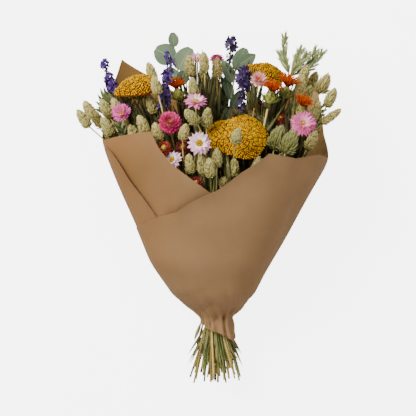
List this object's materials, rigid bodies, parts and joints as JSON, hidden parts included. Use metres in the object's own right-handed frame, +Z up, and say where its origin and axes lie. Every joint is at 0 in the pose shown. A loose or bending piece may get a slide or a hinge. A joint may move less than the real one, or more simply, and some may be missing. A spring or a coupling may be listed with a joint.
{
  "type": "dried flower bouquet",
  "caption": "Mixed bouquet of dried flowers, grasses and foliage tied at the stems and rolled in a cone of brown kraft paper, lying on its back.",
  "frame": {"origin": "on the surface that the bouquet lies on, under the middle of its outline", "axes": "+Y from the cut stem ends to the flowers, +X to the right as the picture shows it, +Z up, out of the bouquet's front"},
  "size_m": [0.3959, 0.5295, 0.2277],
  "materials": {
    "kraft_paper": "matte",
    "tie": "matte",
    "canary_grass": "matte",
    "green_stem": "matte",
    "straw_stem": "matte",
    "yarrow": "matte",
    "larkspur": "matte",
    "eucalyptus": "matte",
    "pink_petals": "satin",
    "yellow_disc": "matte",
    "hot_pink_bracts": "satin",
    "dark_red_bracts": "satin",
    "orange_tuft": "matte",
    "safflower_bulb": "matte",
    "dark_leaf": "matte",
    "oats": "matte"
  },
  "bodies": {
    "root": {"acroclinium_1_disc": "yellow_disc", "acroclinium_1_petals": "pink_petals", "acroclinium_2_disc": "yellow_disc", "acroclinium_2_petals": "pink_petals", "acroclinium_3_disc": "yellow_disc", "acroclinium_3_petals": "pink_petals", "acroclinium_4_disc": "yellow_disc", "acroclinium_4_petals": "pink_petals", "acroclinium_5_petals": "pink_petals", "acroclinium_6_petals": "pink_petals", "acroclinium_7_petals": "pink_petals", "acroclinium_stems_1": "straw_stem", "acroclinium_stems_2": "straw_stem", "acroclinium_stems_3": "straw_stem", "canary_grass_1": "canary_grass", "canary_grass_2": "canary_grass", "canary_grass_3": "canary_grass", "canary_grass_4": "canary_grass", "canary_grass_5": "canary_grass", "canary_grass_6": "canary_grass", "canary_grass_7": "canary_grass", "canary_grass_8": "canary_grass", "eucalyptus_1": "eucalyptus", "eucalyptus_2": "eucalyptus", "larkspur_1_florets": "larkspur", "larkspur_1_stem": "green_stem", "larkspur_2_florets": "larkspur", "larkspur_2_stem": "green_stem", "larkspur_3_florets": "larkspur", "larkspur_3_stem": "green_stem", "larkspur_4_florets": "larkspur", "larkspur_4_stem": "green_stem", "leafy_stems_1": "dark_leaf", "leafy_stems_2": "dark_leaf", "oats": "oats", "paper_wrap": "kraft_paper", "safflower_1": "safflower_bulb", "safflower_1_tuft": "orange_tuft", "safflower_2": "safflower_bulb", "safflower_2_tuft": "orange_tuft", "safflower_3": "safflower_bulb", "safflower_3_tuft": "orange_tuft", "safflower_4": "safflower_bulb", "safflower_4_tuft": "orange_tuft", "stem_binding": "tie", "strawflower_1": "hot_pink_bracts", "strawflower_2": "dark_red_bracts", "strawflower_3": "dark_red_bracts", "strawflower_4": "dark_red_bracts", "strawflower_5": "dark_red_bracts", "strawflower_6": "dark_red_bracts", "strawflower_7": "hot_pink_bracts", "strawflower_stems_1": "straw_stem", "strawflower_stems_2": "straw_stem", "yarrow_1_head": "yarrow", "yarrow_1_stem": "green_stem", "yarrow_2_head": "yarrow", "yarrow_2_stem": "green_stem", "yarrow_3_head": "yarrow", "yarrow_3_stem": "green_stem"}
  },
  "joints": []
}
